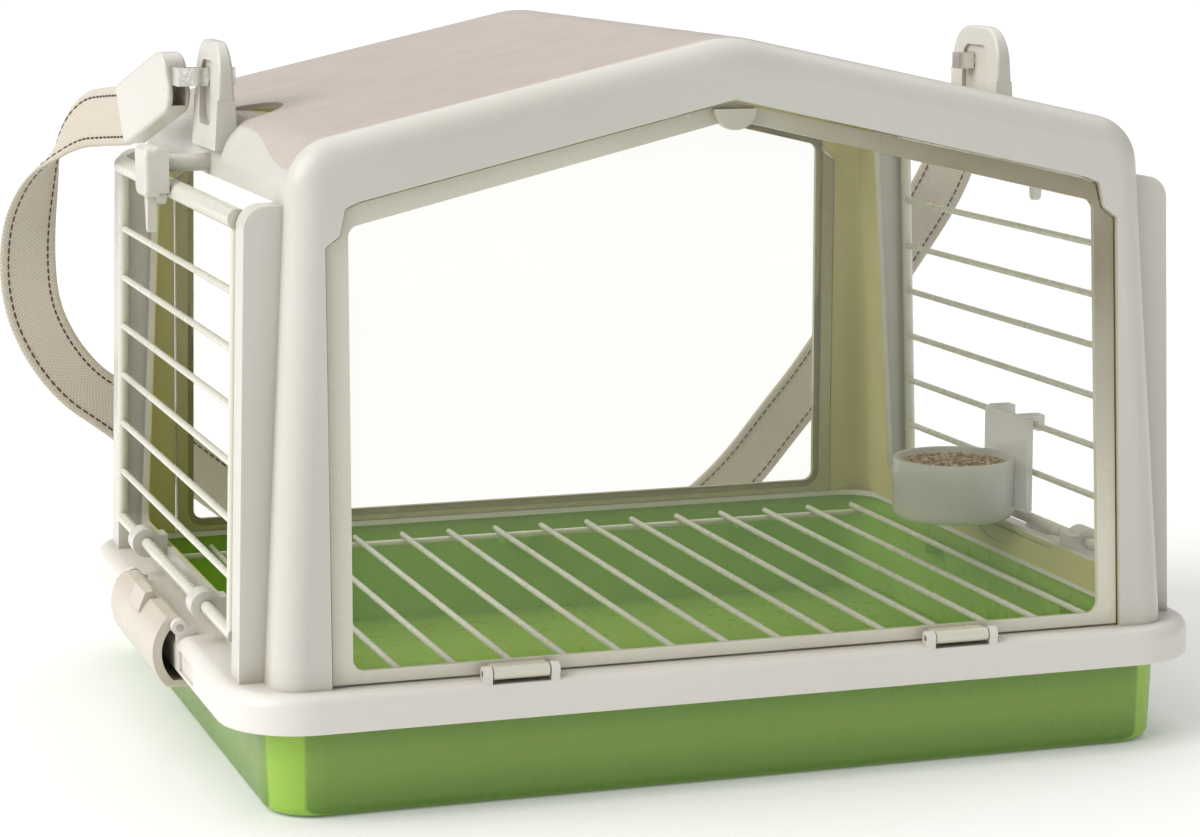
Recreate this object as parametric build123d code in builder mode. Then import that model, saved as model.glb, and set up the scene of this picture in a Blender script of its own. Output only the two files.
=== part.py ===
from build123d import *
import os
from math import sqrt, sin, cos, radians, tan

os.makedirs("parts", exist_ok=True)

# ---------------------------------------------------------------- dimensions
# Millimetres. X along the carrier, Y from the front window to the back, Z up.
# The origin is the middle of the flat underside of the tray.
COLLAR_L, COLLAR_D = 400.0, 330.0     # outer plan of the collar
COLLAR_Z0, COLLAR_Z1 = 35.0, 50.0
TUB_L, TUB_D = 368.0, 308.0           # underside of the tray
TUB_H = 47.4
TUB_WALL = 2.4
TUB_DRAFT = 2.2                       # degrees
BODY_X = 183.0                        # half length of the cage body at the collar
BODY_Y = 157.5                        # half depth of the cage body at the collar
SIDE_LEAN = 0.060                     # mm inwards per mm of height, end walls
FACE_LEAN = 0.045                     # the same for the front and back walls
RIDGE_Z = 287.5
ROOF_SLOPE = 0.222
EAVE_R, RIDGE_R, GABLE_R = 20.0, 45.0, 11.5   # rounding of the eaves, the ridge and the front and back edges
WALL = 3.0
FACE_WALL = 6.0                       # thickness of the front and back surrounds
ROOF_WALL = 4.6
PANEL_T = 1.6                         # roof panel let into the roof shell
SPLIT_Y = 139.0                       # joint between the surrounds and the rest
EAVE_Z = 228.0                        # joint between the end frames and the roof
DOOR_Z0, DOOR_Z1 = 65.0, 222.0        # bottom and top bar of the end doors
DOOR_HALF = 120.5
DOOR_X0 = 190.9
DOOR_LEAN = 0.031
BAR_R = 1.4
BAR_TOP_Z, BAR_PITCH, BAR_COUNT = 194.3, 21.6, 6
FLOOR_PITCH, FLOOR_COUNT, FLOOR_Z = 22.6, 16, 44.0
SWING_Y, SWING_Z = 6.3, 267.0         # line along X that each strap end swings about
HOOD_A, HOOD_B = (180.5, 19.0, 266.4), (191.5, 68.0, 248.2)   # mouth and foot of a hood
HOOD_W, HOOD_T = 26.0, 10.2
KEEPER_Z = 233.0
WIN_PIVOT_Y, WIN_PIVOT_Z = -160.8, 52.4
CLIP_X, CLIP_Z, CLIP_HALF = 198.5, 53.4, 49.0
CUP_X, CUP_R = 159.0, 27.0


def door_x(z):
    return DOOR_X0 - DOOR_LEAN * (z - DOOR_Z0)


def save(builder, name):
    builder.part.label = name
    export_step(builder.part, "parts/" + name + ".step")
    solids = builder.part.solids()
    print(name, "solids", len(solids), "volume", round(builder.part.volume / 1000.0, 2), "cm3")


def cage_prism(inset_side, inset_roof, inset_face, z_low, corner_r, apex_r, edge_r):
    """House-shaped solid: tapering walls under a ridged roof, inset as asked."""
    ks = sqrt(1 + SIDE_LEAN ** 2) * inset_side
    kr = sqrt(1 + ROOF_SLOPE ** 2) * inset_roof
    kf = sqrt(1 + FACE_LEAN ** 2) * inset_face
    top = RIDGE_Z - kr
    # side line: x = BODY_X - ks - SIDE_LEAN (z - 50); roof line: z = top - slope x
    xs = lambda z: BODY_X - ks - SIDE_LEAN * (z - COLLAR_Z1)
    ze = (top - ROOF_SLOPE * (BODY_X - ks + SIDE_LEAN * COLLAR_Z1)) / (1 - ROOF_SLOPE * SIDE_LEAN)
    xe = xs(ze)
    yf = lambda z: BODY_Y - kf - FACE_LEAN * (z - COLLAR_Z1)
    with BuildPart() as p:
        with BuildSketch(Plane.XZ) as sk:
            with BuildLine():
                Polyline(
                    (-xs(z_low), z_low), (xs(z_low), z_low), (xe, ze), (0, top), (-xe, ze),
                    close=True,
                )
            make_face()
            fillet([v for v in sk.vertices() if abs(abs(v.X) - xe) < 0.5 and v.Y > 200], corner_r)
            fillet([v for v in sk.vertices() if abs(v.X) < 0.5 and v.Y > 200], apex_r)
        extrude(amount=200, both=True)
        with BuildSketch(Plane.YZ):
            with BuildLine():
                Polyline(
                    (-yf(z_low), z_low), (yf(z_low), z_low), (yf(310), 310), (-yf(310), 310),
                    close=True,
                )
            make_face()
        extrude(amount=220, both=True, mode=Mode.INTERSECT)
        if edge_r:
            rims = [f for f in p.faces() if abs(f.normal_at().Y) > 0.9]
            fillet([e for f in rims for e in f.edges() if e.center().Z > z_low + 5], edge_r)
    return p.part


cage_outer = cage_prism(0, 0, 0, COLLAR_Z1, EAVE_R, RIDGE_R, GABLE_R)
cage_inner = cage_prism(WALL, ROOF_WALL, FACE_WALL, COLLAR_Z1 - 10, EAVE_R - 4.4, RIDGE_R - 4.6, GABLE_R - 4)
cage_under_panel = cage_prism(PANEL_T, PANEL_T, 0, COLLAR_Z1 - 10, EAVE_R - PANEL_T, RIDGE_R - PANEL_T, 0)

# Sloping faces of the front surround (outward normal, origin at the collar).
FRONT = Plane(origin=(0, -BODY_Y, COLLAR_Z1), x_dir=(1, 0, 0), z_dir=(0, -1, FACE_LEAN))


def window_opening(grow):
    """Outline of the opening in the front surround, in the FRONT plane."""
    with BuildSketch() as sk:
        with BuildLine():
            Polyline(
                (-161.5, -2), (161.5, -2), (159.7, 163.5), (154.2, 167.5), (151.8, 177.5),
                (146.0, 180.0), (0, 213.5), (-146.0, 180.0), (-151.8, 177.5),
                (-154.2, 167.5), (-159.7, 163.5), close=True,
            )
        make_face()
        fillet([v for v in sk.vertices() if v.Y > 160 and abs(v.X) > 100], 1.6)
        if grow:
            offset(amount=grow)
    return sk.sketch


def sight_outline(grow):
    """Outline that can be seen through, in the FRONT plane."""
    with BuildSketch() as sk:
        with BuildLine():
            Polyline(
                (-152.8, 5.8), (152.8, 5.8), (150.4, 170.3), (0, 206.0), (-150.4, 170.3),
                close=True,
            )
        make_face()
        fillet([v for v in sk.vertices() if abs(v.X) > 100], 4.5)
        if grow:
            offset(amount=grow)
    return sk.sketch


# ---------------------------------------------------------------- base tray
with BuildPart() as base_tub:
    with BuildSketch(Plane.XY):
        RectangleRounded(TUB_L, TUB_D, 20)
    extrude(amount=TUB_H, taper=-TUB_DRAFT)
    fillet(base_tub.edges().group_by(Axis.Z)[0], 5)
    with BuildSketch(Plane.XY.offset(TUB_WALL)):
        RectangleRounded(TUB_L - 2 * TUB_WALL, TUB_D - 2 * TUB_WALL, 20 - TUB_WALL)
    extrude(amount=TUB_H, taper=-TUB_DRAFT, mode=Mode.SUBTRACT)
    # keepers that the side clips hook under
    with Locations((190.3, 0, 33.1), (-190.3, 0, 33.1)):
        Box(13, 90, 3.2)
    # small shelves that carry the wire floor
    with Locations(*[(x, y, 37.4) for x in (-118, 0, 118) for y in (-149.5, 149.5)]):
        Box(14, 11, 4.4)
    with Locations(*[(x, y, 37.4) for x in (-179.5, 179.5) for y in (-70, 70)]):
        Box(11, 14, 4.4)
save(base_tub, "base_tub")

# ---------------------------------------------------------------- collar
with BuildPart() as base_collar:
    with BuildSketch(Plane.XY.offset(COLLAR_Z0)):
        RectangleRounded(COLLAR_L, COLLAR_D, 32)
    extrude(amount=COLLAR_Z1 - COLLAR_Z0)
    fillet(base_collar.edges().group_by(Axis.Z)[-1], 5.5)
    fillet(base_collar.edges().group_by(Axis.Z)[0], 1.2)
    with BuildSketch(Plane.XY.offset(COLLAR_Z0 - 1)):
        RectangleRounded(2 * 187.2, 2 * 157.2, 22)
    extrude(amount=TUB_H + 0.2 - (COLLAR_Z0 - 1), mode=Mode.SUBTRACT)
    with BuildSketch(Plane.XY.offset(COLLAR_Z0)):
        RectangleRounded(2 * 180.5, 2 * 151.0, 17)
    extrude(amount=COLLAR_Z1, mode=Mode.SUBTRACT)
    # hollow underside of the two long ends
    with Locations((193.4, 0, 39), (-193.4, 0, 39)):
        Box(8.2, 250, 10, mode=Mode.SUBTRACT)
    # ears for the window knuckles
    for s in (-1, 1):
        with Locations(*[(s * 90 + d, WIN_PIVOT_Y, WIN_PIVOT_Z) for d in (-13.2, 13.2)]):
            Cylinder(2.9, 3.4, rotation=(0, 90, 0))
        with Locations(*[(s * 90 + d, WIN_PIVOT_Y + 0.2, 49.6) for d in (-13.2, 13.2)]):
            Box(3.4, 5.4, 5.6)
        with Locations((s * 90, -161.2, 51)):
            Box(23, 12, 5.0, mode=Mode.SUBTRACT)
        with Locations((s * 90, WIN_PIVOT_Y, WIN_PIVOT_Z)):
            Cylinder(1.25, 40, rotation=(0, 90, 0), mode=Mode.SUBTRACT)
    # ears for the side clips
    for s in (-1, 1):
        with Locations(*[(s * CLIP_X, d, CLIP_Z) for d in (-CLIP_HALF - 2.5, CLIP_HALF + 2.5)]):
            Cylinder(3.2, 4, rotation=(90, 0, 0))
        with Locations(*[(s * 196.2, d, 48.6) for d in (-CLIP_HALF - 2.5, CLIP_HALF + 2.5)]):
            Box(7.0, 4, 9.6)
        with Locations((s * CLIP_X, 0, CLIP_Z)):
            Cylinder(1.55, 120, rotation=(90, 0, 0), mode=Mode.SUBTRACT)
        # sunk panels beside the clips
        with Locations((s * 200.0, -72, 41.2), (s * 200.0, 72, 41.2)):
            Box(2.2, 28, 8.4, mode=Mode.SUBTRACT)
save(base_collar, "base_collar")

# ---------------------------------------------------------------- wire floor
with BuildPart() as floor_grille:
    xs_floor = [(i - (FLOOR_COUNT - 1) / 2) * FLOOR_PITCH for i in range(FLOOR_COUNT)]
    with Locations(*[(x, 0, FLOOR_Z) for x in xs_floor]):
        Cylinder(1.3, 286, rotation=(90, 0, 0))
    with Locations(*[(0, y, FLOOR_Z - 2.5) for y in (-137, 137)]):
        Cylinder(1.5, 346, rotation=(0, 90, 0))
save(floor_grille, "floor_grille")

# ---------------------------------------------------------------- front and back surrounds
with BuildPart() as front_gable:
    add(cage_outer)
    add(cage_inner, mode=Mode.SUBTRACT)
    with Locations((0, -180 + (180 - SPLIT_Y) / 2, 180)):
        Box(420, 180 - SPLIT_Y, 260, mode=Mode.INTERSECT)
    with BuildSketch(FRONT.offset(6)):
        add(window_opening(0))
    extrude(amount=-26, mode=Mode.SUBTRACT)
save(front_gable, "front_gable")

with BuildPart() as rear_gable:
    add(mirror(front_gable.part, about=Plane.XZ, mode=Mode.PRIVATE))
save(rear_gable, "rear_gable")

# ---------------------------------------------------------------- end frames
with BuildPart(mode=Mode.PRIVATE) as rails:
    for y0 in (-138.0, 124.0):
        with BuildSketch(Plane.XZ.offset(-y0)) as rail_sk:
            with BuildLine():
                Polyline(
                    (165, COLLAR_Z1), (192.5, COLLAR_Z1), (192.5 - 0.031 * 178, EAVE_Z), (165, EAVE_Z),
                    close=True,
                )
            make_face()
            fillet([v for v in rail_sk.vertices() if v.X > 180 and v.Y > 200], 9)
        extrude(amount=-14)
    add(cage_outer, mode=Mode.SUBTRACT)

with BuildPart(mode=Mode.PRIVATE) as hinge_lugs:
    with Locations((DOOR_X0, -65, DOOR_Z0), (DOOR_X0, 65, DOOR_Z0)):
        Cylinder(6.2, 11, rotation=(90, 0, 0))
    with Locations((DOOR_X0 - 9, -65, 63.6), (DOOR_X0 - 9, 65, 63.6)):
        Box(18, 11, 9.6)
    with Locations((DOOR_X0, 0, DOOR_Z0)):
        Cylinder(2.6, 200, rotation=(90, 0, 0), mode=Mode.SUBTRACT)
    add(cage_outer, mode=Mode.SUBTRACT)

with BuildPart() as right_end_frame:
    add(cage_outer)
    add(cage_inner, mode=Mode.SUBTRACT)
    with Locations((172, 0, (COLLAR_Z1 + EAVE_Z) / 2)):
        Box(60, 2 * SPLIT_Y, EAVE_Z - COLLAR_Z1, mode=Mode.INTERSECT)
    with BuildSketch(Plane.YZ.offset(140)):
        with Locations((0, 155)):
            RectangleRounded(242, 184, 5)
    extrude(amount=60, mode=Mode.SUBTRACT)
    add(rails.part)
    add(hinge_lugs.part)
    # long slot and finger scoop on the inside of the sill
    with Locations((177.7, 0, 60.9)):
        Box(5.0, 112, 1.3, mode=Mode.SUBTRACT)
    with BuildSketch(Plane.YZ.offset(175)):
        with Locations((0, 60)):
            Ellipse(19, 7)
        with Locations((0, 65)):
            Rectangle(60, 10, mode=Mode.SUBTRACT)
    extrude(amount=5.2, mode=Mode.SUBTRACT)
save(right_end_frame, "right_end_frame")

with BuildPart() as left_end_frame:
    add(mirror(right_end_frame.part, about=Plane.YZ, mode=Mode.PRIVATE))
save(left_end_frame, "left_end_frame")

# ---------------------------------------------------------------- roof
with BuildPart() as roof_panel:
    add(cage_outer)
    add(cage_under_panel, mode=Mode.SUBTRACT)
    with BuildSketch(Plane.XY.offset(235)):
        with BuildLine():
            Spline((164, -36), (166.0, -74), (169.6, -110), (170.2, -SPLIT_Y))
            Line((170.2, -SPLIT_Y), (-170.2, -SPLIT_Y))
            Spline((-170.2, -SPLIT_Y), (-169.6, -110), (-166.0, -74), (-164, -36))
            Line((-164, -36), (-164, 36))
            Spline((-164, 36), (-166.0, 74), (-169.6, 110), (-170.2, SPLIT_Y))
            Line((-170.2, SPLIT_Y), (170.2, SPLIT_Y))
            Spline((170.2, SPLIT_Y), (169.6, 110), (166.0, 74), (164, 36))
            Line((164, 36), (164, -36))
        make_face()
    extrude(amount=80, mode=Mode.INTERSECT)

with BuildPart() as roof_shell:
    add(cage_outer)
    add(cage_inner, mode=Mode.SUBTRACT)
    with Locations((0, 0, EAVE_Z + 50)):
        Box(420, 2 * SPLIT_Y, 100, mode=Mode.INTERSECT)
    add(roof_panel.part, mode=Mode.SUBTRACT)
    # half-oval pockets on the ridge side of each strap lug
    with BuildSketch(Plane.XY.offset(251.7)):
        with Locations((164.6, 0), (-164.6, 0)):
            Ellipse(23, 27)
        Rectangle(2 * 164.6, 80, mode=Mode.INTERSECT)
    extrude(amount=20, mode=Mode.SUBTRACT)
save(roof_shell, "roof_shell")

with roof_panel:
    with BuildSketch(Plane.XY.offset(251.7)):
        with Locations((164.6, 0), (-164.6, 0)):
            Ellipse(23, 27)
        Rectangle(2 * 164.6, 80, mode=Mode.INTERSECT)
    extrude(amount=20, mode=Mode.SUBTRACT)
save(roof_panel, "roof_panel")

# ---------------------------------------------------------------- windows
with BuildPart() as rear_frame_blank:
    with BuildSketch(FRONT.offset(-2.5)):
        add(window_opening(-0.8))
        with Locations((0, -1.2)):
            Rectangle(400, 4.4, mode=Mode.SUBTRACT)
        add(sight_outline(0), mode=Mode.SUBTRACT)
    extrude(amount=-4.5)
    with BuildSketch(FRONT.offset(-5.0)):
        add(sight_outline(3.0))
    extrude(amount=-4.0, mode=Mode.SUBTRACT)

with BuildPart() as window_glass:
    with BuildSketch(FRONT.offset(-5.0)):
        add(sight_outline(2.9))
    extrude(amount=-2.0)

with BuildPart() as front_window_frame:
    add(rear_frame_blank.part)
    # thumb tab at the ridge
    with BuildSketch(FRONT.offset(-3.0)):
        with Locations((0, 210.6)):
            Circle(8.6)
        with Locations((0, 220.4)):
            Rectangle(40, 20.8, mode=Mode.SUBTRACT)
    extrude(amount=3.2)
    # knuckles
    for s in (-1, 1):
        with Locations((s * 90, -156.9, 53.0)):
            Box(22, 7.8, 3.4)
        with Locations((s * 90, WIN_PIVOT_Y, WIN_PIVOT_Z)):
            Cylinder(2.6, 22, rotation=(0, 90, 0))
        with Locations((s * 90, WIN_PIVOT_Y, WIN_PIVOT_Z)):
            Cylinder(1.28, 40, rotation=(0, 90, 0), mode=Mode.SUBTRACT)
save(front_window_frame, "front_window_frame")

with BuildPart() as front_window_pane:
    add(window_glass.part)
save(front_window_pane, "front_window_pane")

with BuildPart() as rear_window_frame:
    add(mirror(rear_frame_blank.part, about=Plane.XZ, mode=Mode.PRIVATE))
save(rear_window_frame, "rear_window_frame")

with BuildPart() as rear_window_pane:
    add(mirror(window_glass.part, about=Plane.XZ, mode=Mode.PRIVATE))
save(rear_window_pane, "rear_window_pane")

for s, name in ((-1, "left_window_pin"), (1, "right_window_pin")):
    with BuildPart() as pin:
        with Locations((s * 90, WIN_PIVOT_Y, WIN_PIVOT_Z)):
            Cylinder(1.2, 29.6, rotation=(0, 90, 0))
    save(pin, name)

# ---------------------------------------------------------------- end doors
with BuildPart() as right_door:
    length = sqrt((door_x(DOOR_Z0) - door_x(DOOR_Z1)) ** 2 + (DOOR_Z1 - DOOR_Z0) ** 2)
    for y in (-DOOR_HALF, DOOR_HALF):
        with BuildSketch(Plane(origin=(door_x(DOOR_Z0), y, DOOR_Z0), x_dir=(0, 1, 0),
                               z_dir=(door_x(DOOR_Z1) - door_x(DOOR_Z0), 0, DOOR_Z1 - DOOR_Z0))):
            Circle(2.4)
        extrude(amount=length)
    with Locations((door_x(DOOR_Z1), 0, DOOR_Z1)):
        Cylinder(4.0, 2 * DOOR_HALF + 5, rotation=(90, 0, 0))
    with Locations((door_x(DOOR_Z0), 0, DOOR_Z0)):
        Cylinder(2.5, 2 * DOOR_HALF + 5, rotation=(90, 0, 0))
    with Locations(*[(door_x(BAR_TOP_Z - i * BAR_PITCH), 0, BAR_TOP_Z - i * BAR_PITCH)
                     for i in range(BAR_COUNT)]):
        Cylinder(BAR_R, 2 * DOOR_HALF, rotation=(90, 0, 0))
    # pivot for the turn catch
    with Locations((192.9, 0, DOOR_Z1)):
        Cylinder(2.2, 8.8, rotation=(0, 90, 0))
save(right_door, "right_door_grille")

with BuildPart() as left_door:
    add(mirror(right_door.part, about=Plane.YZ, mode=Mode.PRIVATE))
save(left_door, "left_door_grille")

# ---------------------------------------------------------------- door catches
with BuildPart() as right_catch:
    # block, with its outer corners rounded
    with BuildSketch(Plane.YZ.offset(194.4)):
        with Locations((0, 230.2)):
            RectangleRounded(23, 20.4, 4.5)
    extrude(amount=6.0)
    fillet(right_catch.faces().sort_by(Axis.X)[-1].edges(), 1.8)
    # wall that stands against the keeper, and the hub
    with Locations((192.7, -8.6, 230.6)):
        Box(4.4, 5.8, 17.6)
    with Locations((192.7, 0, DOOR_Z1)):
        Cylinder(5.6, 4.4, rotation=(0, 90, 0))
    # tongue
    with BuildSketch(Plane.YZ.offset(194.4)):
        with BuildLine():
            Polyline((-4.2, 222), (4.2, 222), (2.0, 206.6), (0, 205.2), (-2.0, 206.6), close=True)
        make_face()
    extrude(amount=3.6)
    with Locations((193.6, 0, DOOR_Z1)):
        Cylinder(2.3, 7.6, rotation=(0, 90, 0), mode=Mode.SUBTRACT)
save(right_catch, "right_door_catch")

with BuildPart() as left_catch:
    add(mirror(right_catch.part, about=Plane.YZ, mode=Mode.PRIVATE))
save(left_catch, "left_door_catch")

with BuildPart() as right_keeper:
    with Locations((178.9, 0, KEEPER_Z)):
        Cylinder(3.6, 29.4, rotation=(0, 90, 0))
    add(cage_outer, mode=Mode.SUBTRACT)
    fillet(right_keeper.faces().sort_by(Axis.X)[-1].edges(), 0.6)
save(right_keeper, "right_catch_keeper")

with BuildPart() as left_keeper:
    add(mirror(right_keeper.part, about=Plane.YZ, mode=Mode.PRIVATE))
save(left_keeper, "left_catch_keeper")

# ---------------------------------------------------------------- side clips
with BuildPart() as right_clip:
    with Locations((CLIP_X, 0, CLIP_Z)):
        Cylinder(3.2, 2 * CLIP_HALF, rotation=(90, 0, 0))
    # bowed wall that curls in below the keeper
    with BuildSketch(Plane.XZ.offset(-CLIP_HALF)) as clip_sk:
        with BuildLine():
            Line((CLIP_X, 56.6), (202.6, 56.6))
            ThreePointArc((202.6, 56.6), (208.8, 44.0), (203.4, 28.6))
            Line((203.4, 28.6), (201.6, 27.7))
            Line((201.6, 27.7), (188.6, 27.7))
            Line((188.6, 27.7), (188.6, 31.1))
            Line((188.6, 31.1), (200.6, 31.1))
            ThreePointArc((200.6, 31.1), (205.2, 42.4), (201.8, 51.6))
            Line((201.8, 51.6), (CLIP_X, 51.6))
            Line((CLIP_X, 51.6), (CLIP_X, 56.6))
        make_face()
    extrude(amount=2 * CLIP_HALF)
    # ends rounded in the side view
    with BuildSketch(Plane.YZ.offset(180)):
        with Locations((0, 42.2)):
            RectangleRounded(2 * CLIP_HALF, 29.2, 4)
    extrude(amount=40, mode=Mode.INTERSECT)
    # raised thumb pad on the top edge
    with BuildSketch(Plane.XZ.offset(-11)):
        with BuildLine():
            Polyline((199.0, 55.6), (201.2, 59.6), (204.6, 59.0), (207.6, 51.6), (204, 50), close=True)
        make_face()
    extrude(amount=22)
    with Locations((CLIP_X, 0, CLIP_Z)):
        Cylinder(1.6, 120, rotation=(90, 0, 0), mode=Mode.SUBTRACT)
save(right_clip, "right_base_clip")

with BuildPart() as left_clip:
    add(mirror(right_clip.part, about=Plane.YZ, mode=Mode.PRIVATE))
save(left_clip, "left_base_clip")

for s, name in ((-1, "left_clip_pin"), (1, "right_clip_pin")):
    with BuildPart() as pin:
        with Locations((s * CLIP_X, 0, CLIP_Z)):
            Cylinder(1.5, 2 * CLIP_HALF + 9, rotation=(90, 0, 0))
    save(pin, name)

# ---------------------------------------------------------------- strap lugs and pins
with BuildPart() as right_lug:
    with BuildSketch(Plane.XZ):
        with BuildLine():
            Polyline((164.8, 236), (166.4, 282), (171.2, 282), (174.4, 236), close=True)
        make_face()
    extrude(amount=24, both=True)
    with BuildSketch(Plane.YZ):
        with Locations((0, 264)):
            RectangleRounded(47, 36, 15)
        with Locations((0, 249)):
            Rectangle(47, 20)
    extrude(amount=220, both=True, mode=Mode.INTERSECT)
    fillet([e for e in right_lug.edges() if e.center().Z > 279], 1.4)
    with BuildSketch(Plane.YZ.offset(160)):
        with Locations((0, 261)):
            RectangleRounded(24, 26, 5)
    extrude(amount=7.4, mode=Mode.SUBTRACT)
    with BuildSketch(Plane.YZ.offset(170.4)):
        with Locations((0, 261)):
            RectangleRounded(24, 26, 5)
    extrude(amount=10, mode=Mode.SUBTRACT)
    with Locations((173.5, SWING_Y, SWING_Z)):
        Cylinder(3.7, 30, rotation=(0, 90, 0), mode=Mode.SUBTRACT)
    add(cage_outer, mode=Mode.SUBTRACT)
save(right_lug, "right_strap_lug")

with BuildPart() as left_lug:
    add(mirror(right_lug.part, about=Plane.YZ, mode=Mode.PRIVATE))
save(left_lug, "left_strap_lug")

with BuildPart() as right_pin:
    # square head, round journal, square stub and the short leg that the hood grips
    with Locations((163.4, SWING_Y, SWING_Z)):
        Box(7.2, 7.0, 7.0)
    with Locations((169.2, SWING_Y, SWING_Z)):
        Cylinder(3.62, 5.2, rotation=(0, 90, 0))
    with Locations((177.3, SWING_Y, SWING_Z)):
        Box(12.4, 6.8, 7.4)
    with Locations((180.8, 14.2, SWING_Z)):
        Box(5.4, 20.0, 7.4)
    fillet([e for e in right_pin.edges() if e.center().X > 183 and abs(e.center().Y - 3) < 0.3], 0.8)
save(right_pin, "right_strap_pin")

with BuildPart() as left_pin:
    add(mirror(right_pin.part, about=Plane.YZ, mode=Mode.PRIVATE))
save(left_pin, "left_strap_pin")

# ---------------------------------------------------------------- strap hoods
run = Vector(*HOOD_B) - Vector(*HOOD_A)
HOOD_LEN = run.length
flat = sqrt(run.X ** 2 + run.Y ** 2)
HOOD_OUT = Vector(run.Y / flat, -run.X / flat, 0)      # level, square to the hood's face
HOOD_PLANE = Plane(origin=HOOD_A, x_dir=tuple(run), z_dir=tuple(HOOD_OUT))
with BuildPart() as right_hood:
    with BuildSketch(HOOD_PLANE.offset(-HOOD_T / 2)) as hood_sk:
        with Locations((HOOD_LEN / 2, 0)):
            Rectangle(HOOD_LEN, HOOD_W)
        fillet([v for v in hood_sk.vertices() if v.X < HOOD_LEN / 2], 9)
    extrude(amount=HOOD_T)
    fillet([e for e in right_hood.edges() if e.length > HOOD_LEN * 0.6], 1.5)
    # slot that the webbing is sewn into
    with BuildSketch(HOOD_PLANE.offset(-2.0)):
        with Locations((HOOD_LEN - 14, 0)):
            Rectangle(30, HOOD_W - 3.4)
    extrude(amount=4.0, mode=Mode.SUBTRACT)
    # hollow mouth below the leg, and the socket that grips it
    with BuildSketch(HOOD_PLANE.offset(-3.0)):
        with Locations((0, -6.0)):
            Ellipse(13, 5.4)
    extrude(amount=6.0, mode=Mode.SUBTRACT)
    add(right_pin.part, mode=Mode.SUBTRACT)
save(right_hood, "right_strap_hood")

with BuildPart() as left_hood:
    add(mirror(right_hood.part, about=Plane.YZ, mode=Mode.PRIVATE))
save(left_hood, "left_strap_hood")

# ---------------------------------------------------------------- shoulder strap
strap_points = [
    (-192.1, 70.8, 247.2), (-198.5, 100, 243.5), (-209, 126, 239), (-222, 144, 219), (-230, 153, 186),
    (-226.5, 158, 158), (-216, 163, 136), (-196, 170, 113), (-165, 179, 88), (-126, 189, 57),
    (-86, 195, 28), (-45, 197, 15), (0, 198, 14), (50, 197.4, 14.6), (90, 196, 21),
    (122, 192.5, 44), (150, 184, 83), (166.5, 176, 112), (182, 167, 141), (197, 156, 180),
    (203, 146, 214), (199.5, 123, 239), (192.1, 70.8, 247.2),
]


def strap_radii(points):
    radii = []
    for a, b, c in zip(points[:-2], points[1:-1], points[2:]):
        u = Vector(*b) - Vector(*a)
        v = Vector(*c) - Vector(*b)
        turn = radians(u.get_angle(v))
        radii.append(0.45 * min(u.length, v.length) / tan(turn / 2))
    return radii


radii = strap_radii(strap_points)
print("strap radii", [round(r, 1) for r in radii])
with BuildPart() as shoulder_strap:
    with BuildLine() as strap_line:
        FilletPolyline(*strap_points, radius=radii)
    with BuildSketch(Plane(origin=strap_line.line @ 0, z_dir=strap_line.line % 0)):
        Circle(3.5)
    sweep()
print("strap length", round(sum(e.length for e in strap_line.edges()), 1))
save(shoulder_strap, "shoulder_strap")

# ---------------------------------------------------------------- feeder
with BuildPart() as seed_feeder:
    with Locations((CUP_X, 0, 65.8)):
        Cylinder(CUP_R, 26.7, align=(Align.CENTER, Align.CENTER, Align.MIN))
    fillet(seed_feeder.edges().group_by(Axis.Z)[0], 4)
    with Locations((185.4, 0, 90.5)):
        Box(2.8, 44, 41)
    for y in (-15, 15):
        with Locations((189.2, y, 108.6)):
            Box(9.6, 7, 7.2)
        with Locations((door_x(107.9), y, 106.5)):
            Box(3.2, 8, 6.2, mode=Mode.SUBTRACT)
    with Locations((CUP_X, 0, 68.0)):
        Cylinder(CUP_R - 2.2, 60, align=(Align.CENTER, Align.CENTER, Align.MIN), mode=Mode.SUBTRACT)
save(seed_feeder, "seed_feeder")

with BuildPart() as bird_seed:
    with Locations((CUP_X, 0, 68.0)):
        Cylinder(CUP_R - 2.4, 20.3, align=(Align.CENTER, Align.CENTER, Align.MIN))
    fillet(bird_seed.edges().group_by(Axis.Z)[-1], 3)
save(bird_seed, "bird_seed")
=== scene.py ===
import math
import random

import bmesh
import bpy
import numpy as np
from mathutils import Matrix, Vector


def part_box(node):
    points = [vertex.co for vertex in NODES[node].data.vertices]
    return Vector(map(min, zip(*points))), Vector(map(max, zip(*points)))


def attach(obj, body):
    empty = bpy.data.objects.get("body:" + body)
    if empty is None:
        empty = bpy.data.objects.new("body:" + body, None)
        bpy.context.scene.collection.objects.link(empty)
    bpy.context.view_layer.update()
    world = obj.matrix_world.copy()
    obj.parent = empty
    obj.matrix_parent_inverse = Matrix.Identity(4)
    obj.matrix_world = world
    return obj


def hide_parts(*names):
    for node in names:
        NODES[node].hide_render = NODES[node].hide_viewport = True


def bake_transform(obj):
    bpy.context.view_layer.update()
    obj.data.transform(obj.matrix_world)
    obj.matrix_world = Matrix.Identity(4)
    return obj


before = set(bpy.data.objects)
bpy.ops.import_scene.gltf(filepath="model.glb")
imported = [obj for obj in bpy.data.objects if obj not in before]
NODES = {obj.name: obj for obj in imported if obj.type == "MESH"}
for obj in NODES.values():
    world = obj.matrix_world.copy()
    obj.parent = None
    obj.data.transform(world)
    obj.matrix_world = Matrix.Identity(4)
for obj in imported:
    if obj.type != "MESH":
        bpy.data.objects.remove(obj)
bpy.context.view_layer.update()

# ------------------------------------------------------------------ camera
RIGHT = Vector((0.95057805, -0.31047238, -0.0028751))
UP = Vector((0.05370489, 0.15529454, 0.98640731))
AHEAD = Vector((0.30580574, 0.93781155, -0.16429347))
cam_data = bpy.data.cameras.new("camera")
cam_data.sensor_fit = "HORIZONTAL"
cam_data.sensor_width = 36.0
cam_data.lens = 97.19
cam_data.clip_start, cam_data.clip_end = 0.05, 30.0
cam = bpy.data.objects.new("camera", cam_data)
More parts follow.
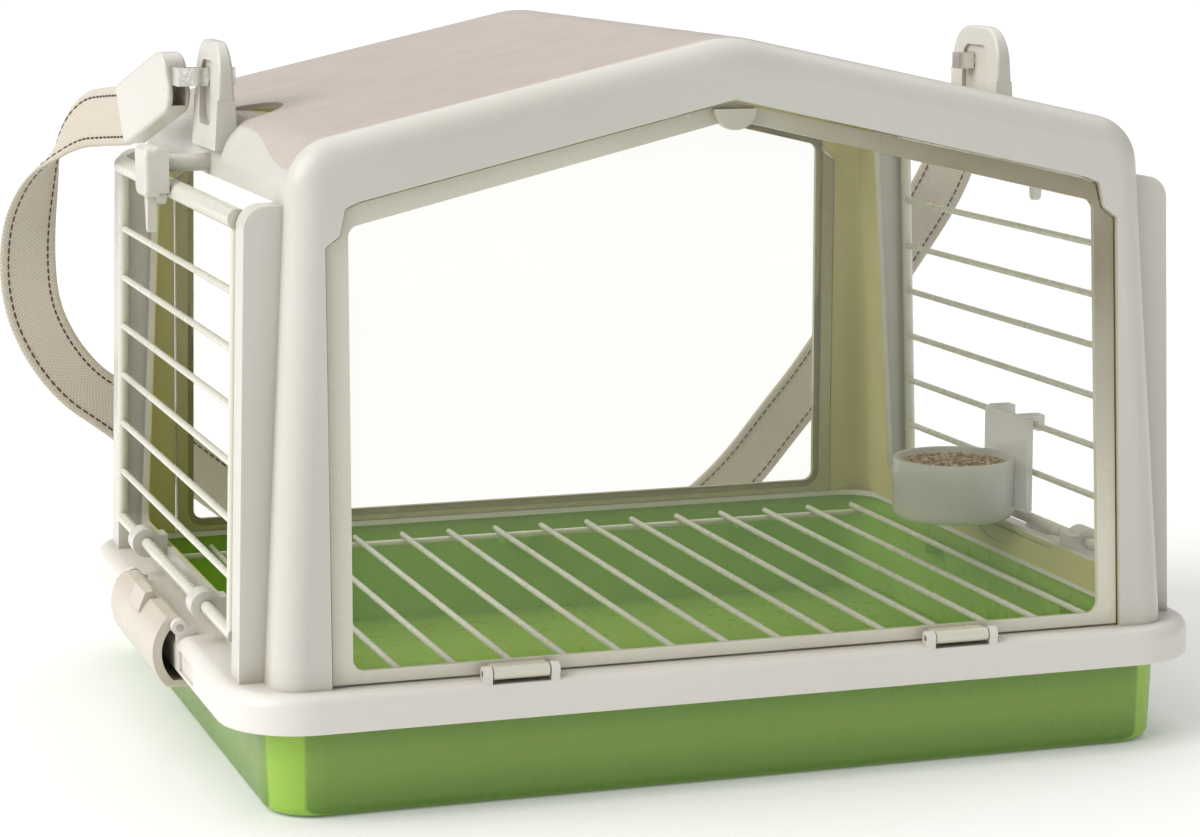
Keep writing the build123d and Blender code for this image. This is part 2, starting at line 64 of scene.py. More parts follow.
bpy.context.scene.collection.objects.link(cam)
cam.matrix_world = Matrix((
    (RIGHT.x, UP.x, -AHEAD.x, -0.428156),
    (RIGHT.y, UP.y, -AHEAD.y, -1.294968),
    (RIGHT.z, UP.z, -AHEAD.z, 0.345400),
    (0, 0, 0, 1),
))
bpy.context.scene.camera = cam
scene = bpy.context.scene
scene.view_settings.view_transform = "Standard"
scene.view_settings.look = "None"
scene.view_settings.exposure = 0.0


# ------------------------------------------------------------------ node helpers
class Graph:
    """Small wrapper that builds a material's node graph."""

    def __init__(self, name):
        self.mat = bpy.data.materials.new(name)
        self.mat.use_nodes = True
        self.nt = self.mat.node_tree
        self.bsdf = self.nt.nodes["Principled BSDF"]
        self.out = self.nt.nodes["Material Output"]
        self.tc = self.node("ShaderNodeTexCoord")

    def node(self, kind, **props):
        n = self.nt.nodes.new(kind)
        for k, v in props.items():
            setattr(n, k, v)
        return n

    def link(self, a, b):
        self.nt.links.new(a, b)

    def put(self, socket, value):
        if isinstance(value, bpy.types.NodeSocket):
            self.link(value, socket)
        else:
            socket.default_value = value

    def math(self, op, a, b=0.0, c=0.0, clamp=False):
        n = self.node("ShaderNodeMath", operation=op, use_clamp=clamp)
        self.put(n.inputs[0], a)
        self.put(n.inputs[1], b)
        if len(n.inputs) > 2:
            self.put(n.inputs[2], c)
        return n.outputs[0]

    def noise(self, scale, detail=2.0, rough=0.5, distortion=0.0, vector=None):
        n = self.node("ShaderNodeTexNoise")
        n.inputs["Scale"].default_value = scale
        n.inputs["Detail"].default_value = detail
        n.inputs["Roughness"].default_value = rough
        n.inputs["Distortion"].default_value = distortion
        self.link(vector or self.tc.outputs["Object"], n.inputs["Vector"])
        return n.outputs["Fac"]

    def remap(self, value, a, b, c, d):
        n = self.node("ShaderNodeMapRange", clamp=True)
        self.put(n.inputs["Value"], value)
        n.inputs["From Min"].default_value = a
        n.inputs["From Max"].default_value = b
        n.inputs["To Min"].default_value = c
        n.inputs["To Max"].default_value = d
        return n.outputs["Result"]

    def mix(self, fac, a, b, blend="MIX"):
        n = self.node("ShaderNodeMix", data_type="RGBA", blend_type=blend)
        self.put(n.inputs[0], fac)
        self.put(n.inputs[6], a if isinstance(a, bpy.types.NodeSocket) else (*a, 1.0))
        self.put(n.inputs[7], b if isinstance(b, bpy.types.NodeSocket) else (*b, 1.0))
        return n.outputs[2]

    def bump(self, height, strength, distance, normal=None):
        n = self.node("ShaderNodeBump")
        n.inputs["Strength"].default_value = strength
        n.inputs["Distance"].default_value = distance
        self.link(height, n.inputs["Height"])
        if normal is not None:
            self.link(normal, n.inputs["Normal"])
        return n.outputs["Normal"]

    def set(self, **values):
        for k, v in values.items():
            self.put(self.bsdf.inputs[k.replace("_", " ")], v)


def srgb(r, g, b):
    """Linear colour of an 8-bit display colour."""
    f = lambda c: (c / 255 / 12.92) if c <= 10 else ((c / 255 + 0.055) / 1.055) ** 2.4
    return (f(r), f(g), f(b))


def moulded(name, light, dark, inside_shade=None, rough=(0.30, 0.42), grain=0.035, peel=0.05,
            sss=0.0, sss_radius=(0.004, 0.0036, 0.0028), coat=0.15, painted_crevice_shade=(0.50, 0.45, 0.36), ao=0.010):
    """Moulded plastic: cloudy tone, faint flow marks, fine grain, with painted shade in its corners and an optional
    painted olive shade on faces inside the cage.
    """
    g = Graph(name)
    cloud = g.noise(7.0, 3.0, 0.55, 0.3)
    fine = g.noise(55.0, 3.0, 0.6)
    col = g.mix(g.remap(cloud, 0.35, 0.65, 0.0, 1.0), light, dark)
    col = g.mix(g.remap(fine, 0.3, 0.7, 0.0, 0.10), col, dark)
    # Painted shade and green bounce light: faces inside the cage get an olive tint instead of the cream.
    if inside_shade is not None:
        sep = g.node("ShaderNodeSeparateXYZ")
        g.link(g.tc.outputs["Object"], sep.inputs[0])
        x, y, z = sep.outputs
        ax, ay = g.math("ABSOLUTE", x), g.math("ABSOLUTE", y)
        zz = g.math("SUBTRACT", z, 0.05)
        side = g.math("SUBTRACT", g.math("MULTIPLY_ADD", zz, -0.060, 0.1830), ax)
        face = g.math("SUBTRACT", g.math("MULTIPLY_ADD", zz, -0.045, 0.1575), ay)
        roof = g.math("SUBTRACT", g.math("MULTIPLY_ADD", ax, -0.222, 0.2875), z)

        def depth(a, b, radius):
            """Depth below two faces that meet in an edge rounded to the radius."""
            p = g.math("MAXIMUM", g.math("SUBTRACT", radius, a), 0.0)
            q = g.math("MAXIMUM", g.math("SUBTRACT", radius, b), 0.0)
            return g.math("SUBTRACT", radius, g.math("SQRT", g.math("MULTIPLY_ADD", p, p, g.math("MULTIPLY", q, q))))

        inside = depth(depth(side, roof, 0.013), face, 0.0115)
        inside_shade_mask = g.remap(inside, 0.0019, 0.0026, 0.0, 1.0)
        tone = g.mix(g.remap(g.noise(11.0, 2.0), 0.3, 0.7, 0.0, 1.0), inside_shade,
                     tuple(c * 0.86 for c in inside_shade))
        col = g.mix(inside_shade_mask, col, tone)
    # Painted shade: ambient occlusion darkens the colour towards the crevice tint in corners and crevices.
    occ = g.node("ShaderNodeAmbientOcclusion", samples=6)
    occ.inputs["Distance"].default_value = ao
    g.link(col, occ.inputs["Color"])
    shade = g.remap(occ.outputs["AO"], 0.35, 0.95, 0.55, 0.0)
    col = g.mix(shade, col, painted_crevice_shade, "MULTIPLY")
    h1 = g.bump(g.noise(240.0, 2.0, 0.5), peel, 0.0006)
    h2 = g.bump(g.noise(2600.0, 2.0, 0.5), grain, 0.0002, h1)
    g.set(Base_Color=col, Roughness=g.remap(fine, 0.3, 0.7, rough[0], rough[1]), Normal=h2,
          IOR=1.49)
    g.bsdf.inputs["Coat Weight"].default_value = coat
    g.bsdf.inputs["Coat Roughness"].default_value = 0.22
    if sss:
        g.bsdf.inputs["Subsurface Weight"].default_value = sss
        g.bsdf.inputs["Subsurface Radius"].default_value = sss_radius
        g.bsdf.inputs["Subsurface Scale"].default_value = 1.0
    return g


CREAM = (0.690, 0.680, 0.625)
CREAM_D = (0.655, 0.643, 0.582)
# olive tint standing for painted shade and green bounce light inside the cage
INSIDE_SHADE_TINT = (0.690, 0.625, 0.300)

m_shell = moulded("shell_cream", CREAM, CREAM_D, inside_shade=INSIDE_SHADE_TINT, sss=0.10).mat
m_collar = moulded("collar_cream", (0.835, 0.805, 0.765), (0.805, 0.772, 0.728), sss=0.05).mat
m_roof = moulded("roof_beige", (0.590, 0.520, 0.465), (0.560, 0.492, 0.438), rough=(0.34, 0.48)).mat
m_trim = moulded("trim_cream", (0.735, 0.715, 0.665), (0.690, 0.665, 0.605), rough=(0.26, 0.36), coat=0.25).mat
m_clip = moulded("clip_beige", (0.665, 0.605, 0.520), (0.625, 0.560, 0.470)).mat
m_wire = moulded("wire_coating", (0.76, 0.75, 0.66), (0.71, 0.70, 0.60), rough=(0.22, 0.34), peel=0.02, coat=0.35).mat

# translucent green tray
g = Graph("tray_green")
cloud = g.noise(9.0, 3.0, 0.55, 0.4)
fine = g.noise(70.0, 3.0, 0.6)
sep = g.node("ShaderNodeSeparateXYZ")
g.link(g.tc.outputs["Object"], sep.inputs[0])
rise = sep.outputs[2]
col = g.mix(g.remap(cloud, 0.25, 0.75, 0.0, 1.0), (0.318, 0.490, 0.112), (0.308, 0.476, 0.106))
# painted shade: darker green at the rim, where the collar shades it, and towards the foot
rim_and_foot_shade = g.math("MAXIMUM", g.remap(rise, 0.002, 0.017, 1.0, 0.0), g.remap(rise, 0.025, 0.035, 0.0, 1.0))
col = g.mix(g.math("MULTIPLY", rim_and_foot_shade, 0.70), col, (0.125, 0.275, 0.034))
# painted light: the inside is a brighter yellow-green, as if lit through the walls
tub_ax, tub_ay = g.math("ABSOLUTE", sep.outputs[0]), g.math("ABSOLUTE", sep.outputs[1])
in_x = g.math("SUBTRACT", g.math("MULTIPLY_ADD", rise, 0.0384, 0.1826), tub_ax)
in_y = g.math("SUBTRACT", g.math("MULTIPLY_ADD", rise, 0.0384, 0.1526), tub_ay)
lit_inside_mask = g.remap(g.math("MINIMUM", g.math("MINIMUM", in_x, in_y), g.math("SUBTRACT", rise, 0.0012)), -0.0003, 0.0003, 0.0, 1.0)
col = g.mix(lit_inside_mask, col, g.mix(g.remap(cloud, 0.25, 0.75, 0.0, 1.0), (0.470, 0.740, 0.110), (0.450, 0.715, 0.104)))
h1 = g.bump(g.noise(30.0, 1.0, 0.5), 0.03, 0.0006)
h2 = g.bump(g.noise(2400.0, 2.0, 0.5), 0.02, 0.0002, h1)
g.set(Base_Color=col, Roughness=g.remap(fine, 0.3, 0.7, 0.24, 0.36), Normal=h2, IOR=1.47)
g.bsdf.inputs["Subsurface Weight"].default_value = 0.0
g.bsdf.inputs["Subsurface Radius"].default_value = (0.006, 0.009, 0.003)
g.bsdf.inputs["Subsurface Scale"].default_value = 1.0
g.bsdf.inputs["Transmission Weight"].default_value = 0.0
g.bsdf.inputs["Coat Weight"].default_value = 0.3
g.bsdf.inputs["Coat Roughness"].default_value = 0.12
# the translucent layer is also brighter inside the tub: painted light
glow = g.node("ShaderNodeBsdfTranslucent")
g.link(g.mix(lit_inside_mask, (0.36, 0.62, 0.10), (0.62, 0.86, 0.26)), glow.inputs["Color"])
both = g.node("ShaderNodeMixShader")
both.inputs[0].default_value = 0.32
g.link(g.bsdf.outputs[0], both.inputs[1])
g.link(glow.outputs[0], both.inputs[2])
g.link(both.outputs[0], g.out.inputs["Surface"])
m_tub = g.mat

# clear sheet
g = Graph("window_clear")
scuff = g.noise(38.0, 4.0, 0.65, 0.6)
g.set(Base_Color=g.mix(g.remap(scuff, 0.4, 0.7, 0.0, 1.0), (0.86, 0.88, 0.85), (0.80, 0.83, 0.79)),
      Roughness=g.remap(scuff, 0.3, 0.7, 0.03, 0.05), IOR=1.49,
      Normal=g.bump(g.noise(9.0, 1.0), 0.02, 0.0006),
      Alpha=g.remap(scuff, 0.2, 0.9, 0.040, 0.048))
m_pane = g.mat

# milky clear frame of the windows
def milky_frame(name, pale, painted_shade_tone, upper):
    """Milky window frame: pale at the foot and one side, with painted shade deepening it towards the top and the
    other side.
    """
    m = moulded(name, pale, tuple(c * 0.94 for c in pale), rough=(0.18, 0.30), coat=0.4)
    base = m.bsdf.inputs["Base Color"].links[0].from_socket
    axes = m.node("ShaderNodeSeparateXYZ")
    m.link(m.tc.outputs["Object"], axes.inputs[0])
    # painted shade: darker towards the top and towards +x, broken by streaks
    across_x = m.remap(axes.outputs[0], -0.06, 0.09, upper, 1.0)
    up_z = m.remap(axes.outputs[2], 0.085, 0.190, 0.0, 1.0)
    streak = m.remap(m.noise(26.0, 3.0, 0.6), 0.3, 0.7, 0.82, 1.0)
    m.set(Base_Color=m.mix(m.math("MULTIPLY", m.math("MULTIPLY", across_x, up_z), streak), base, painted_shade_tone))
    return m.mat


m_wframe = milky_frame("window_frame_milky", (0.80, 0.78, 0.66), (0.275, 0.245, 0.150), 0.12)
# the rear frame is a darker olive copy of the milky frame: painted shade and green bounce light inside the cage
m_wframe_back = milky_frame("window_frame_back", (0.52, 0.48, 0.24), (0.34, 0.30, 0.13), 0.6)

# clear feeder
g = moulded("feeder_milky", (0.95, 0.95, 0.93), (0.92, 0.92, 0.90), rough=(0.14, 0.24), coat=0.4, painted_crevice_shade=(0.85, 0.84, 0.80))
glow = g.node("ShaderNodeBsdfTranslucent")
g.link(g.mix(g.noise(30.0, 2.0), (0.98, 0.98, 0.96), (0.95, 0.95, 0.93)), glow.inputs["Color"])
both = g.node("ShaderNodeMixShader")
both.inputs[0].default_value = 0.45
g.link(g.bsdf.outputs[0], both.inputs[1])
g.link(glow.outputs[0], both.inputs[2])
g.link(both.outputs[0], g.out.inputs["Surface"])
m_feeder = g.mat

# bright plated pins
g = Graph("pin_plated")
scratch = g.noise(900.0, 3.0, 0.6)
g.set(Base_Color=g.mix(g.remap(scratch, 0.3, 0.7, 0.0, 1.0), (0.80, 0.79, 0.77), (0.70, 0.69, 0.67)),
      Metallic=1.0, Roughness=g.remap(scratch, 0.3, 0.7, 0.10, 0.24),
      Normal=g.bump(g.noise(420.0, 2.0), 0.08, 0.0003))
m_chrome = g.mat
g = Graph("pin_drawn_steel")
scratch = g.noise(1300.0, 3.0, 0.6)
g.set(Base_Color=g.mix(g.remap(scratch, 0.3, 0.7, 0.0, 1.0), (0.58, 0.57, 0.55), (0.44, 0.43, 0.41)),
      Metallic=1.0, Roughness=g.remap(scratch, 0.3, 0.7, 0.25, 0.42),
      Normal=g.bump(g.noise(700.0, 2.0), 0.1, 0.0002))
m_steel = g.mat

PAINT = {
    "base_tub": m_tub, "base_collar": m_collar, "floor_grille": m_wire,
    "front_gable": m_shell, "rear_gable": m_shell, "left_end_frame": m_shell,
    "right_end_frame": m_shell, "roof_shell": m_shell, "roof_panel": m_roof,
    "front_window_frame": m_wframe, "rear_window_frame": m_wframe_back,
    "front_window_pane": m_pane, "rear_window_pane": m_pane,
    "left_window_pin": m_steel, "right_window_pin": m_steel,
    "left_clip_pin": m_steel, "right_clip_pin": m_steel,
    "left_door_grille": m_wire, "right_door_grille": m_wire,
    "left_door_catch": m_trim, "right_door_catch": m_trim,
    "left_catch_keeper": m_trim, "right_catch_keeper": m_trim,
    "left_base_clip": m_clip, "right_base_clip": m_clip,
    "left_strap_lug": m_shell, "right_strap_lug": m_shell,
    "left_strap_pin": m_chrome, "right_strap_pin": m_chrome,
    "left_strap_hood": m_trim, "right_strap_hood": m_trim,
    "seed_feeder": m_feeder,
}
for node_name, material in PAINT.items():
    obj = NODES[node_name]
    if not obj.material_slots:
        obj.data.materials.append(material)
    for s in obj.material_slots:
        s.material = material


# ------------------------------------------------------------------ webbing strap
def bspline(points, count):
    """Quadratic clamped B-spline through the control points' corners."""
    p = np.array(points, float)
    n, k = len(p), 3
    knots = np.concatenate([np.zeros(k - 1), np.linspace(0, 1, n - k + 2), np.ones(k - 1)])
    out = []
    for u in np.linspace(0, 1 - 1e-9, count):
        i = max(np.searchsorted(knots, u, side="right") - 1, k - 1)
        i = min(i, n - 1)
        d = [p[j] for j in range(i - k + 1, i + 1)]
        for r in range(1, k):
            for j in range(k - 1, r - 1, -1):
                a = i - k + 1 + j
                den = knots[a + k - r] - knots[a]
                w = 0.0 if den < 1e-12 else (u - knots[a]) / den
                d[j] = (1 - w) * d[j - 1] + w * d[j]
        out.append(d[k - 1])
    return np.array(out)


def even(points, step):
    """The same line resampled at equal steps; extra columns are carried along."""
    seg = np.linalg.norm(np.diff(points[:, :3], axis=0), axis=1)
    s = np.concatenate([[0], np.cumsum(seg)])
    t = np.linspace(0, s[-1], int(round(s[-1] / step)) + 1)
    return np.column_stack([np.interp(t, s, points[:, c]) for c in range(points.shape[1])]), s[-1]


# route in metres, then the direction across the webbing
ROUTE = [
    (-0.1886, 0.0551, 0.2530, -0.075, 0.333, 0.941), (-0.1915, 0.0680, 0.2482, -0.075, 0.333, 0.941),
    (-0.1921, 0.0708, 0.2472, -0.075, 0.333, 0.941), (-0.1975, 0.1000, 0.2450, -0.03, 0.22, 0.97),
    (-0.2045, 0.1200, 0.2425, 0.15, 0.35, 0.90), (-0.2145, 0.1330, 0.2290, 0.50, 0.42, 0.70),
    (-0.2210, 0.1400, 0.2130, 0.74, 0.30, 0.48), (-0.2255, 0.1480, 0.1900, 0.88, 0.05, 0.25),
    (-0.2240, 0.1580, 0.1600, 0.92, -0.15, 0.12), (-0.2155, 0.1630, 0.1380, 0.88, -0.12, 0.30),
    (-0.2010, 0.1680, 0.1182, 0.76, -0.10, 0.56), (-0.1846, 0.1725, 0.1065, 0.66, -0.05, 0.66),
    (-0.1384, 0.1850, 0.0685, 0.60, -0.05, 0.72), (-0.1060, 0.1920, 0.0420, 0.55, -0.03, 0.80),
    (-0.0800, 0.1950, 0.0255, 0.35, 0.0, 0.95), (-0.0450, 0.1970, 0.0155, 0.1, 0, 1),
    (0.0, 0.198, 0.0145, 0, 0, 1), (0.050, 0.1974, 0.0150, -0.1, 0, 1),
    (0.090, 0.196, 0.022, -0.35, 0, 1), (0.1248, 0.1910, 0.0485, -0.75, 0.10, 0.65),
    (0.1504, 0.1820, 0.0849, -0.80, 0.18, 0.55), (0.1618, 0.1750, 0.1018, -0.80, 0.24, 0.52),
    (0.1814, 0.1630, 0.1373, -0.75, 0.32, 0.52), (0.1988, 0.1490, 0.1716, -0.68, 0.42, 0.55),
    (0.2090, 0.1390, 0.1935, -0.64, 0.44, 0.58), (0.2165, 0.1330, 0.2140, -0.52, 0.50, 0.64),
    (0.2175, 0.1240, 0.2340, -0.30, 0.50, 0.80), (0.2070, 0.1050, 0.2470, -0.05, 0.40, 0.90),
    (0.1965, 0.0850, 0.2480, 0.03, 0.30, 0.95),
    (0.1921, 0.0708, 0.2472, 0.075, 0.333, 0.941), (0.1915, 0.0680, 0.2482, 0.075, 0.333, 0.941),
    (0.1886, 0.0551, 0.2530, 0.075, 0.333, 0.941),
]
WEB_W, WEB_T = 0.025, 0.0017
line = bspline(ROUTE, 1600)
line, strap_len = even(line, 0.0025)
pos = line[:, :3]
tan_ = np.gradient(pos, axis=0)
tan_ /= np.linalg.norm(tan_, axis=1)[:, None]
across = line[:, 3:6] - (line[:, 3:6] * tan_).sum(1)[:, None] * tan_
across /= np.linalg.norm(across, axis=1)[:, None]
for _ in range(6):
    across[1:-1] = (across[:-2] + across[1:-1] * 2 + across[2:]) / 4
    across -= (across * tan_).sum(1)[:, None] * tan_
    across /= np.linalg.norm(across, axis=1)[:, None]
face = np.cross(tan_, across)
print("STRAP LENGTH", round(float(strap_len), 4))


def section(w, t):
    """Cross-section of webbing: rounded selvedges, faint ribs beside them."""
    pts = []
    half, ht = w / 2, t / 2
    top = [(-half + 0.0004, ht * 0.55), (-half + 0.0009, ht), (-half + 0.0022, ht * 1.12),
           (-half + 0.0034, ht * 0.96), (-0.0055, ht), (0.0, ht * 1.02), (0.0055, ht),
           (half - 0.0034, ht * 0.96), (half - 0.0022, ht * 1.12), (half - 0.0009, ht),
           (half - 0.0004, ht * 0.55)]
    pts += top
    pts.append((half, 0.0))
    pts += [(x, -y) for x, y in reversed(top)]
    pts.append((-half, 0.0))
    return pts


SEC = section(WEB_W, WEB_T)


def ribbon(name, lo, hi):
    """One stretch of the webbing as a closed solid."""
    verts, faces = [], []
    k = len(SEC)
    for i in range(lo, hi + 1):
        for a, b in SEC:
            verts.append(tuple(pos[i] + across[i] * a + face[i] * b))
    rings = hi - lo + 1
    for r in range(rings - 1):
        for j in range(k):
            a, b = r * k + j, r * k + (j + 1) % k
            faces.append((a, b, b + k, a + k))
    faces.append(tuple(reversed(range(k))))
    faces.append(tuple(range((rings - 1) * k, rings * k)))
    me = bpy.data.meshes.new(name)
    me.from_pydata(verts, [], faces)
    uv = me.uv_layers.new(name="weave")
    arc = np.cumsum([0] + [math.dist(SEC[j], SEC[(j + 1) % k]) for j in range(k)])
    for poly in me.polygons[: (rings - 1) * k]:
        r, j = divmod(poly.index, k)
        quad = [(r, arc[j]), (r, arc[j + 1]), (r + 1, arc[j + 1]), (r + 1, arc[j])]
        for li, (rr, ss) in zip(poly.loop_indices, quad):
            uv.data[li].uv = ((rr + lo) * 0.0025, ss)
    for poly in me.polygons:
        poly.use_smooth = True
    me.update()
    ob = bpy.data.objects.new(name, me)
    scene.collection.objects.link(ob)
    return ob


def stitches(name, lo, hi):
    """Two rows of thread on each face, as short raised stitches."""
    bm = bmesh.new()
    pitch, run, r = 0.0038, 0.0030, 0.00042
    step = 0.0025
    total = (hi - lo) * step
    s = 0.004
    while s < total - 0.004:
        for off in (-0.0088, 0.0088):
            for sign in (1, -1):
                rings = []
                for f, rr in ((0, 0.35), (0.15, 0.85), (0.5, 1.0), (0.85, 0.85), (1, 0.35)):
                    q = (s + run * f) / step + lo
                    i = int(q)
                    u = q - i
                    i2 = min(i + 1, len(pos) - 1)
                    c = pos[i] * (1 - u) + pos[i2] * u
                    ac = across[i] * (1 - u) + across[i2] * u
                    fc = face[i] * (1 - u) + face[i2] * u
                    base = c + ac * off + fc * sign * (WEB_T / 2 + 0.00008)
                    rings.append([bm.verts.new(tuple(
                        base + ac * math.cos(t) * r * rr + fc * sign * math.sin(t) * r * rr * 0.9))
                        for t in (0, math.pi * 0.33, math.pi * 0.67, math.pi, math.pi * 1.5)])
                for a, b in zip(rings[:-1], rings[1:]):
                    for j in range(5):
                        bm.faces.new((a[j], a[(j + 1) % 5], b[(j + 1) % 5], b[j]))
                bm.faces.new(rings[0][::-1])
                bm.faces.new(rings[-1])
        s += pitch
    bmesh.ops.recalc_face_normals(bm, faces=bm.faces)
    me = bpy.data.meshes.new(name)
    bm.to_mesh(me)
    bm.free()
    for poly in me.polygons:
        poly.use_smooth = True
    ob = bpy.data.objects.new(name, me)
    scene.collection.objects.link(ob)
    return ob


# woven webbing
g = Graph("webbing_cream")
uvn = g.node("ShaderNodeUVMap", uv_map="weave")
sep = g.node("ShaderNodeSeparateXYZ")
g.link(uvn.outputs["UV"], sep.inputs[0])
along, over = sep.outputs[0], sep.outputs[1]
warp = g.math("SINE", g.math("MULTIPLY", over, 2 * math.pi / 0.0011))
phase = g.math("MULTIPLY", g.math("FLOOR", g.math("DIVIDE", over, 0.0011)), math.pi)
weft = g.math("SINE", g.math("ADD", g.math("MULTIPLY", along, 2 * math.pi / 0.0019), phase))
height = g.math("ADD", g.math("MULTIPLY", g.math("ABSOLUTE", warp), 0.6), g.math("MULTIPLY", weft, 0.4))
tone = g.noise(30.0, 3.0, 0.6)
fuzz = g.noise(1500.0, 2.0, 0.6)
col = g.mix(g.remap(height, -0.4, 1.0, 0.0, 1.0), srgb(196, 184, 166), srgb(232, 225, 212))
col = g.mix(g.remap(tone, 0.35, 0.65, 0.0, 0.35), col, srgb(214, 202, 184))
col = g.mix(g.remap(fuzz, 0.3, 0.7, 0.0, 0.16), col, srgb(184, 170, 150))
g.set(Base_Color=col, Roughness=g.remap(fuzz, 0.3, 0.7, 0.72, 0.9),
      Normal=g.bump(g.noise(1500.0, 2.0), 0.15, 0.0002, g.bump(height, 0.55, 0.00035)))
g.bsdf.inputs["Sheen Weight"].default_value = 0.25
g.bsdf.inputs["Sheen Roughness"].default_value = 0.5
m_web = g.mat

g = Graph("stitch_brown")
tw = g.noise(2600.0, 2.0, 0.6)
g.set(Base_Color=g.mix(g.remap(tw, 0.3, 0.7, 0.0, 1.0), srgb(92, 70, 52), srgb(60, 44, 32)),
      Roughness=g.remap(tw, 0.3, 0.7, 0.55, 0.8), Normal=g.bump(tw, 0.3, 0.0002))
m_stitch = g.mat

mid = len(pos) // 2
for side, lo, hi in (("left", 0, mid), ("right", mid, len(pos) - 1)):
    band = ribbon("shoulder_strap_" + side, lo, hi)
    band.data.materials.append(m_web)
    thread = stitches("strap_stitching_" + side, lo, hi)
    thread.data.materials.append(m_stitch)
    for ob in (band, thread):
        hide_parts("shoulder_strap")
        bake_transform(ob)

# ------------------------------------------------------------------ seed in the feeder
random.seed(7)
seed_lo, seed_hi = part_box("bird_seed")
cx, cy = (seed_lo.x + seed_hi.x) / 2, (seed_lo.y + seed_hi.y) / 2
rad = (seed_hi.x - seed_lo.x) / 2 - 0.0006
top_z = seed_hi.z + 0.0030
TONES = [(0.46, 0.29, 0.14), (0.60, 0.42, 0.22), (0.72, 0.55, 0.32), (0.30, 0.18, 0.09), (0.80, 0.68, 0.44)]


def grain_shape():
    """One husked seed: a pointed, slightly flattened spindle."""
    vs, fs = [(-1.0, 0.0, 0.0)], []
    stations = ((-0.72, 0.50), (-0.25, 0.92), (0.25, 1.0), (0.70, 0.66))
    for x, r in stations:
        for k in range(8):
            t = math.tau * k / 8
            vs.append((x, r * math.cos(t), r * 0.78 * math.sin(t)))
    vs.append((1.0, 0.0, 0.0))
    for k in range(8):
        fs.append((0, 1 + (k + 1) % 8, 1 + k))
        for st in range(3):
            a = 1 + st * 8
            fs.append((a + k, a + (k + 1) % 8, a + 8 + (k + 1) % 8, a + 8 + k))
        fs.append((25 + k, 25 + (k + 1) % 8, 33))
    return np.array(vs), fs


g_v, g_f = grain_shape()
all_v, all_f, all_c = [], [], []
for i in range(950):
    a, r = random.random() * math.tau, rad * math.sqrt(random.random())
    length = random.uniform(0.0013, 0.0021)
    r = min(r, rad - length)
    heap = 0.0011 * (1 - (r / rad) ** 2) + random.uniform(-0.0016, 0.0)
    rot = np.array((Matrix.Rotation(random.random() * math.tau, 3, "Z")
                    @ Matrix.Rotation(random.uniform(-0.5, 0.5), 3, "Y")))
    size = np.array((length, length * random.uniform(0.45, 0.62), length * 0.5))
    base = len(all_v) * len(g_v)
    all_v.append((g_v * size) @ rot.T + np.array((cx + r * math.cos(a), cy + r * math.sin(a), top_z - 0.0014 + heap)))
    all_f += [tuple(base + q for q in f) for f in g_f]
    all_c += [random.choice(TONES)] * len(g_f)
# the bulk below the top layer, closed and slightly uneven
base = len(all_v) * len(g_v)
bulk, z0, z1 = [], seed_lo.z + 0.0006, top_z - 0.0022
for z in (z0, z1):
    bulk += [(cx + rad * math.cos(math.tau * k / 48), cy + rad * math.sin(math.tau * k / 48), z) for k in range(48)]
bulk.append((cx, cy, z1 + 0.0008))
for k in range(48):
    all_f.append((base + k, base + (k + 1) % 48, base + 48 + (k + 1) % 48, base + 48 + k))
    all_f.append((base + 48 + k, base + 48 + (k + 1) % 48, base + 96))
all_f.append(tuple(base + k for k in reversed(range(48))))
all_c += [(0.30, 0.19, 0.09)] * 97
me = bpy.data.meshes.new("bird_seed_mix")
me.from_pydata(np.vstack(all_v + [np.array(bulk)]).tolist(), [], all_f)
tone_layer = me.color_attributes.new("tone", "FLOAT_COLOR", "CORNER")
flat = np.empty((len(me.loops), 4), np.float32)
for poly, c in zip(me.polygons, all_c):
    flat[poly.loop_start:poly.loop_start + poly.loop_total] = (*c, 1.0)
tone_layer.data.foreach_set("color", flat.ravel())
for poly in me.polygons:
    poly.use_smooth = True
me.update()
seed_ob = bpy.data.objects.new("bird_seed_mix", me)
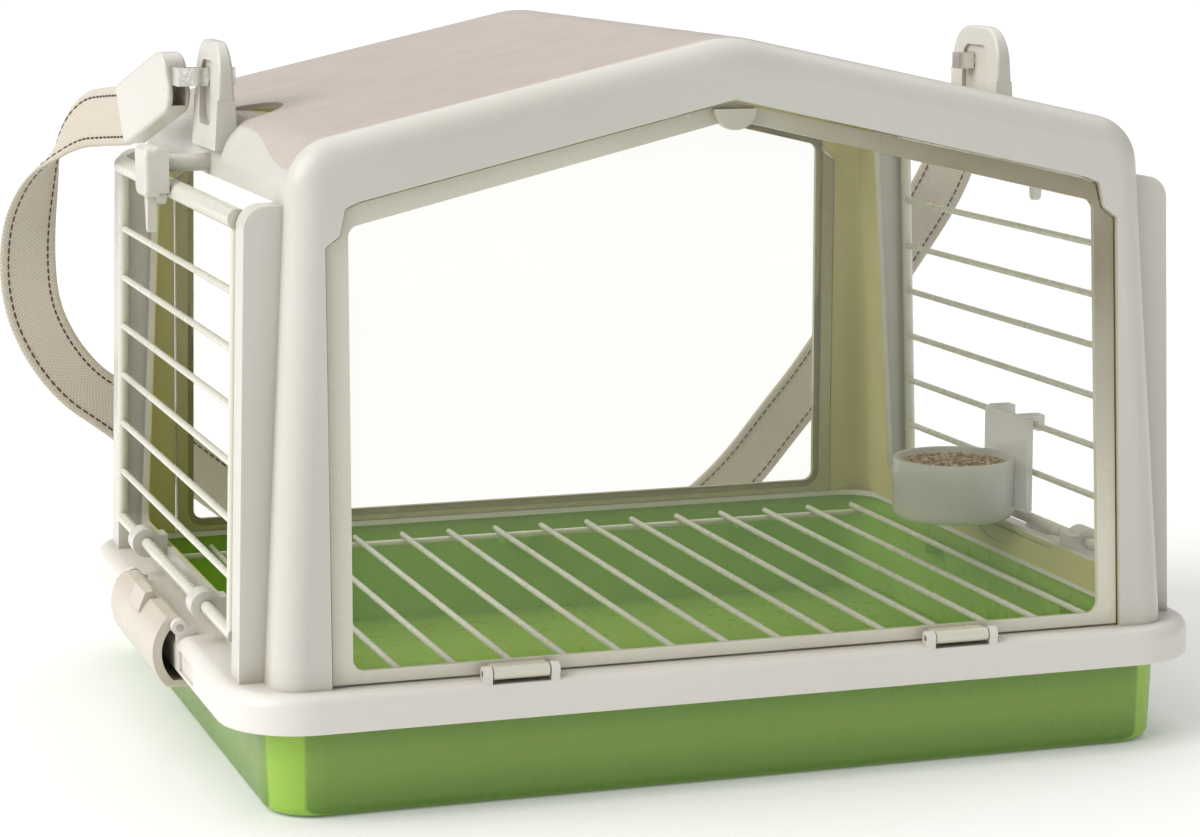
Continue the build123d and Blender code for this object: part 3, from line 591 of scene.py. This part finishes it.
scene.collection.objects.link(seed_ob)
g = Graph("seed_mix")
attr = g.node("ShaderNodeVertexColor", layer_name="tone")
husk = g.noise(1800.0, 2.0, 0.6)
col = g.mix(g.remap(husk, 0.35, 0.65, 0.0, 0.45), attr.outputs["Color"], (0.20, 0.12, 0.06))
g.set(Base_Color=col, Roughness=g.remap(husk, 0.3, 0.7, 0.45, 0.7), Normal=g.bump(husk, 0.3, 0.0002))
me.materials.append(g.mat)
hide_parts("bird_seed")
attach(seed_ob, "feeder")

# ------------------------------------------------------------------ stage and light
bpy.ops.mesh.primitive_plane_add(size=60, location=(0, 0, 0))
floor = bpy.context.object
floor.name = "floor"
g = Graph("floor_pale")
soft = g.noise(1.2, 3.0, 0.5)
g.set(Base_Color=g.mix(g.remap(soft, 0.3, 0.7, 0.0, 1.0), (0.90, 0.90, 0.895), (0.87, 0.87, 0.865)),
      Roughness=g.remap(soft, 0.3, 0.7, 0.85, 0.95))
g.bsdf.inputs["Emission Color"].default_value = (1.0, 0.998, 0.99, 1.0)
g.bsdf.inputs["Emission Strength"].default_value = 0.12
floor.data.materials.append(g.mat)

world = scene.world or bpy.data.worlds.new("world")
scene.world = world
world.use_nodes = True
bg = world.node_tree.nodes["Background"]
bg.inputs["Color"].default_value = (1.0, 0.995, 0.985, 1.0)
bg.inputs["Strength"].default_value = 0.34


def soft_sun(name, toward, strength, spread, color=(1, 1, 1)):
    """Broad, even studio light that comes from the direction given."""
    data = bpy.data.lights.new(name, "SUN")
    data.angle = math.radians(spread)
    data.energy = strength
    data.color = color
    ob = bpy.data.objects.new(name, data)
    scene.collection.objects.link(ob)
    ob.location = Vector(toward) * 2.0
    ob.rotation_mode = "QUATERNION"
    ob.rotation_quaternion = (-Vector(toward)).to_track_quat("-Z", "Y")
    return ob


soft_sun("key_left", (-1.0, -0.10, 0.75), 2.25, 50, (1.0, 0.99, 0.97))
soft_sun("top_back", (0.10, 0.35, 1.0), 1.15, 70, (1.0, 0.995, 0.985))
